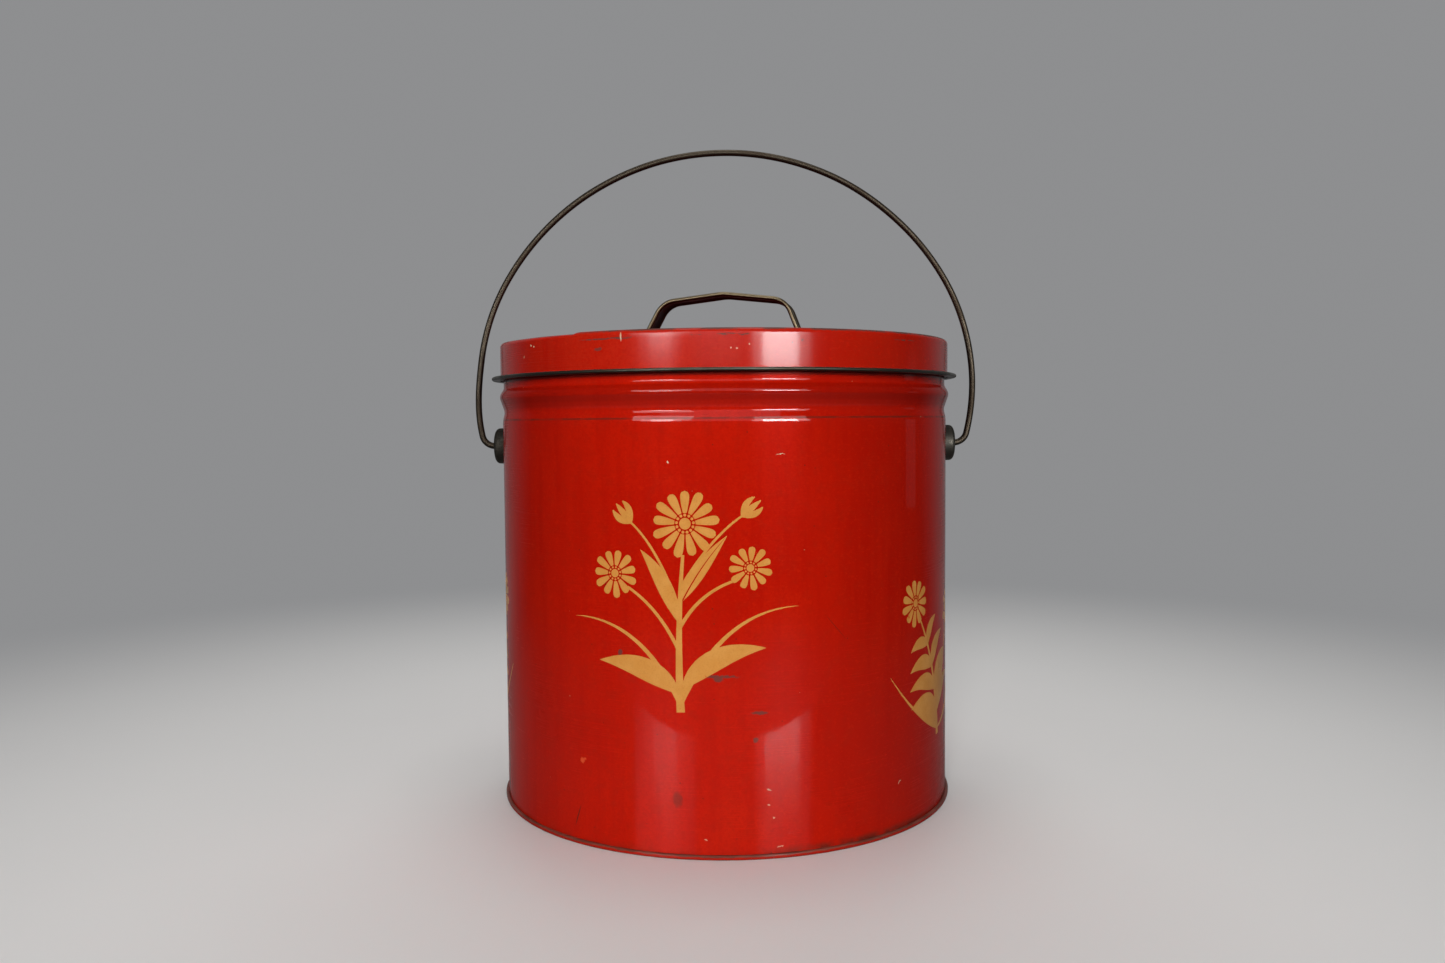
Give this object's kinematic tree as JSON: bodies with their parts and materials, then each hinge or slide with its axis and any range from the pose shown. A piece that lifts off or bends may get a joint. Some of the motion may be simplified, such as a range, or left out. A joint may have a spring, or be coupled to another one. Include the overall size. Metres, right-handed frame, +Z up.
{
  "type": "lidded tin pail",
  "caption": "Straight-sided red tin pail with a slip lid, a strap handle on the lid and a wire bail that swings in round ears.",
  "frame": {"origin": "on the table, under the middle of the pail", "axes": "+Z up along the pail's axis, +X through the right ear along the bail's pivot line, -Y towards the viewer"},
  "size_m": [0.2534, 0.2296, 0.3187],
  "materials": {
    "red_lacquer": "glossy aged red lacquer on tinplate",
    "dark_steel": "blackened steel with a brown patina",
    "handle_steel": "worn dark steel",
    "bare_steel": "dull tinned steel"
  },
  "bodies": {
    "pail": {"body_wall": "red_lacquer", "bottom_panel": "red_lacquer", "mouth_wire": "bare_steel", "left_ear": "dark_steel", "right_ear": "dark_steel"},
    "bail": {"bail": "dark_steel"},
    "lid": {"lid_top": "red_lacquer", "lid_skirt": "red_lacquer", "lid_hoop": "dark_steel", "lid_handle": "handle_steel", "handle_rivets": "handle_steel", "rivet_washers": "bare_steel"}
  },
  "joints": [
    {"name": "bail_swing", "type": "hinge", "parent": "pail", "child": "bail", "pos_m": [0, 0, 0.1717], "axis": [1, 0, 0], "range_deg": [-129, 129]},
    {"name": "lid_lift", "type": "slide", "parent": "pail", "child": "lid", "axis": [0, 0, 1], "range_m": [0, 0.023]}
  ]
}
